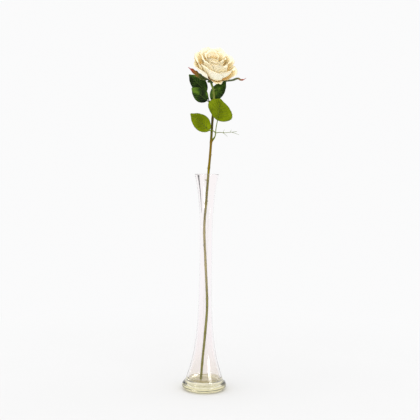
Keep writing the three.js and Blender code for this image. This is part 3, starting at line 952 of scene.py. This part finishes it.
# The CAD leaves' places and width, in mm. face is the way the upper side faces, apart from the slope.
LEAVES = {
    "lower_leaf_left": dict(base=(3.4, -6.6, 480.5), tip=(-31.5, -10, 510.5), face=(0.2, 1, 0.3), width=32),
    "lower_leaf_top": dict(base=(18.4, -8, 499), tip=(22.3, -38, 535), face=(0.61, 0.67, 0.43), width=58),
    "upper_leaf_left": dict(base=(-1.6, 7, 537), tip=(-30.6, 1, 558.8), face=(-0.1, -1, 0.35), width=29),
    "upper_leaf_right": dict(base=(6.6, 10, 538.5), tip=(33, 9, 573.5), face=(0, -1, 0.3), width=26),
    "upper_leaf_tip": dict(base=(-3.4, 11.5, 554), tip=(-36, 9, 585), face=(-0.1, -1, 0.3), width=29),
}
LEAF_THICK = 0.5 * MM
LEAF_GRID = (44, 72)
SIDE_VEINS = 8
VEIN_SLANT = 0.34
LEAF_TEETH = 17


def leaf_frame(leaf):
    """A leaf's base, its directions along, across and up, and its length."""
    base = Vector(leaf["base"]) * MM
    along = Vector(leaf["tip"]) * MM - base
    length = along.length
    along.normalize()
    across = Vector(leaf["face"]).cross(along).normalized()
    return base, along, across, along.cross(across).normalized(), length


def leaf_half_width(leaf, v):
    v = min(1.0, max(0.0, v))
    swell = math.sin(math.pi * (0.02 + 0.96 * v**0.8)) ** 0.8
    return leaf["width"] / 2 * MM * swell * (1 - 0.35 * smoothstep(v, 0.8, 1.0))


def vein_share(u, v):
    """How near a point of a leaf is to its midrib or a side vein, from 0 to 1."""
    side = abs(u)
    middle = hill(side, 0, 0.035)
    phase = (v - VEIN_SLANT * side) * SIDE_VEINS
    off = abs(phase - round(phase)) / SIDE_VEINS
    branch = hill(off, 0, 0.011) * (1 - smoothstep(side, 0.72, 0.98))
    if phase < 0.4 or v > 0.95:
        branch = 0
    return max(middle, branch * 0.7)


def leaf_surface(leaf, sink=0.0, veins=True):
    """The middle surface of a leaf, or the surface that lies sink below it."""
    base, along, across, up, length = leaf_frame(leaf)
    seed = Vector(leaf["tip"]) * 0.11

    def surface(u, v):
        half = leaf_half_width(leaf, v)
        tooth = (v * LEAF_TEETH) % 1
        notch = 1 - 0.06 * (1 - tooth) * smoothstep(abs(u), 0.75, 1.0) * smoothstep(v, 0.05, 0.15)
        lift = 0.11 * abs(u) * half + 0.1 * v * (1 - v) * length - sink
        uneven = noise.noise(Vector((u * 0.9, v * 2.2, 0)) + seed)
        lift += 0.8 * MM * uneven * smoothstep(abs(u), 0.1, 0.6)
        quilting = math.sin(SIDE_VEINS * TAU * (v - VEIN_SLANT * abs(u)))
        lift += 0.13 * MM * quilting * smoothstep(abs(u), 0.1, 0.5)
        if veins:
            lift -= 0.22 * MM * vein_share(u, v)
        return base + along * (v * length) + across * (u * half * notch) + up * lift

    return surface


def leaf_material(name, stops, vein_and_highlight_colour, roughness, gloss):
    nodes = Nodes(name)
    vein = nodes.value("vein")
    patch = nodes.noise(60.0, 4.0)
    # on the upper side, the stops and the vein colour carry painted highlights and painted shade
    colour = nodes.ramp(patch, stops)
    colour = nodes.mix(nodes.math("MULTIPLY", vein, 0.55), colour, rgba(vein_and_highlight_colour))
    fine = nodes.noise(900.0, 3.0)
    colour = nodes.mix(nodes.math("MULTIPLY", fine, 0.22), colour, rgba(stops[0][1]))
    edge = nodes.range(nodes.math("ABSOLUTE", nodes.value("across")), 0.9, 1.0)
    colour = nodes.mix(nodes.math("MULTIPLY", edge, 0.45), colour, rgba((64, 66, 22)))
    rough = nodes.range(fine, 0.2, 0.8, roughness - 0.06, roughness + 0.1)
    nodes.set(Base_Color=colour, Roughness=rough, Specular_IOR_Level=gloss)
    nodes.bump(nodes.math("ADD", fine, nodes.math("MULTIPLY", patch, 0.6)), 0.12 * MM, 0.6)
    return nodes.material


def leaf_materials():
    # painted highlights and shade: the upper side's bright blotches and light veins stand in for glossy
    # highlights, its near-black blotches for shade
    top = leaf_material(
        "leaf_upper_side",
        [(0.36, (12, 28, 3)), (0.5, (40, 68, 8)), (0.65, (100, 134, 34))],
        (104, 134, 46), 0.5, 0.14)
    under = leaf_material(
        "leaf_underside",
        [(0.3, (92, 106, 2)), (0.5, (114, 130, 4)), (0.72, (134, 150, 14))],
        (124, 138, 30), 0.75, 0.06)
    return top, under


def make_leaves():
    """The leaf blades. du x dv points down from a leaf, so side 1 is its underside."""
    top, under = leaf_materials()
    for node, leaf in LEAVES.items():
        builder = Builder()
        add_blade(builder, leaf_surface(leaf), LEAF_THICK, *LEAF_GRID, side_0_material=1)
        places = zip(builder.values["across"], builder.values["along"])
        builder.values["vein"] = [vein_share(u, v) for u, v in places]
        blade = builder.make(f"{node}_blade", [under, top])
        lower = node.startswith("lower")
        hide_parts(node)
        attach(blade, "lower_spray" if lower else "upper_spray")


# ---------------------------------------------------------------- leaf ribs

MIDRIB_SINK = LEAF_THICK / 2 + 0.45 * MM
SIDE_RIB_REACH = 0.62
LOWER_FORK = (14.9, -8.8, 476)
UPPER_FORK = (2, 12.2, 536)
SLEEVE_START = 6.4 * MM
SLEEVE_END = 11.6 * MM
BARE_RIB = [LOWER_FORK, (22.6, -9, 477), (34, -9.6, 476.6), (54.1, -11, 479)]
BARE_SIDE_RIBS = [
    [(28.4, -9.2, 476.6), (31, -9.8, 482.5)],
    [(28.4, -9.2, 476.6), (37.3, -9.8, 469.3)],
    [(41.5, -10, 477.2), (43.9, -10.5, 482.5)],
    [(45, -10.2, 477.6), (58.7, -11, 472.8)],
]


def spray_peg(joint):
    """Where a spray's peg starts, in the middle of the stem, its direction and its length."""
    root = Vector(JOINTS[joint]["pos_m"])
    direction = Vector(JOINTS[joint]["axis"]).normalized()
    return root, direction, SLEEVE_START - 0.3 * MM


def rib_material(name, stops):
    nodes = Nodes(name)
    grain = nodes.noise(220.0, 4.0)
    rough = nodes.range(grain, 0.2, 0.8, 0.5, 0.7)
    nodes.set(Base_Color=nodes.ramp(grain, stops), Roughness=rough, Specular_IOR_Level=0.2)
    nodes.bump(grain, 0.15 * MM, 0.5)
    return nodes.material


def mm_points(points):
    return [Vector(p) * MM for p in points]


def add_leaf_skeleton(builder, leaf):
    """The ribs that hold a fabric leaf from its underside: one along it and pairs to the sides."""
    under = leaf_surface(leaf, MIDRIB_SINK, veins=False)
    spine = [under(0, k / 30) for k in range(28)]
    add_tube(builder, spine, taper(0.72, 0.22), 8)
    for k in range(1, SIDE_VEINS - 1):
        foot = k / SIDE_VEINS
        for side in (-1, 1):
            outs = [SIDE_RIB_REACH * t / 8 for t in range(9)]
            line = [under(side * out, foot + VEIN_SLANT * out) for out in outs]
            add_tube(builder, line, taper(0.36, 0.12), 6)


def make_spray(name, material, joint, fork, stalk, leaves, body, node, bare=()):
    """A spray's ribs: a sleeve on the stem's peg, a stalk to the fork, a stalk and a skeleton for each
    leaf, and the bare ribs of a missing leaf. stalk and the leaves' second values are points passed."""
    builder = Builder()
    root, direction, _ = spray_peg(joint)
    sleeve = [root + direction * lerp(SLEEVE_START, SLEEVE_END, k / 5) for k in range(6)]
    add_tube(builder, sleeve, lambda s: lerp(1.75, 1.35, smoothstep(s, 0.2, 1)) * MM, 16)
    neck = [*sleeve[-2:], *mm_points([stalk, fork])]
    add_tube(builder, smooth_route(neck, 1.0 * MM), taper(1.3, 0.95), 12)
    for leaf_name, via in leaves:
        leaf = LEAVES[leaf_name]
        under = leaf_surface(leaf, MIDRIB_SINK, veins=False)
        knots = [*mm_points([fork, *via]), under(0, 0), under(0, 0.05)]
        line = smooth_route(knots, 1.0 * MM)
        add_tube(builder, line, taper(0.9, 0.72), 10)
        add_leaf_skeleton(builder, leaf)
    for k, line in enumerate(bare):
        thick = (0.8, 0.3) if k == 0 else (0.42, 0.15)
        route = smooth_route(mm_points(line), 1.0 * MM)
        add_tube(builder, route, taper(*thick), 8)
    ribs = builder.make(name, [material])
    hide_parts(node)
    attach(ribs, body)


def make_sprays():
    light_stops = [(0.3, (92, 106, 10)), (0.6, (110, 124, 16)), (0.8, (122, 136, 28))]
    dark_stops = [(0.3, (32, 50, 8)), (0.6, (54, 76, 16)), (0.8, (74, 98, 28))]
    light = rib_material("light_rib_plastic", light_stops)
    dark = rib_material("dark_rib_plastic", dark_stops)
    make_spray(
        "lower_spray_ribs", light, "lower_spray_turn", LOWER_FORK, (14.4, -7.6, 471.5),
        [("lower_leaf_top", [(15.8, -9.6, 486)]), ("lower_leaf_left", [(10, -9.2, 480)])],
        "lower_spray", "lower_ribs", [BARE_RIB, *BARE_SIDE_RIBS])
    make_spray(
        "upper_spray_ribs", dark, "upper_spray_turn", UPPER_FORK, (4, 11.4, 531.4),
        [("upper_leaf_left", []), ("upper_leaf_right", []), ("upper_leaf_tip", [(0, 14, 545)])],
        "upper_spray", "upper_ribs")


# ---------------------------------------------------------------- CAD nodes kept as they are

def wire_material():
    nodes = Nodes("drawn_steel_wire")
    scratch = nodes.noise(700.0, 3.0, nodes.stretched(1, 1, 0.05))
    steel = nodes.mix(scratch, rgba((120, 122, 124)), rgba((168, 170, 172)))
    nodes.set(Base_Color=steel, Metallic=1.0, Roughness=nodes.range(scratch, 0.2, 0.8, 0.28, 0.5))
    nodes.bump(scratch, 0.05 * MM, 0.4)
    return nodes.material


def core_material():
    nodes = Nodes("bud_core_foam")
    cells = nodes.add("ShaderNodeTexVoronoi", Scale=900.0)
    nodes.put(cells.inputs["Vector"], nodes.place())
    cloud = nodes.noise(120.0, 3.0)
    foam = nodes.mix(cloud, rgba((226, 186, 104)), rgba((244, 218, 150)))
    nodes.set(Base_Color=foam, Roughness=0.9)
    nodes.bump(cells.outputs["Distance"], 0.3 * MM, 0.7)
    return nodes.material


def dress_cad_nodes():
    for node, material in (("stem_wire", wire_material()), ("bud_core", core_material())):
        mesh = frame["nodes"][node].data
        mesh.materials.clear()
        mesh.materials.append(material)


make_studio()
make_vase()
make_stem([spray_peg("lower_spray_turn"), spray_peg("upper_spray_turn")])
make_petals()
make_calyx()
make_leaves()
make_sprays()
dress_cad_nodes()
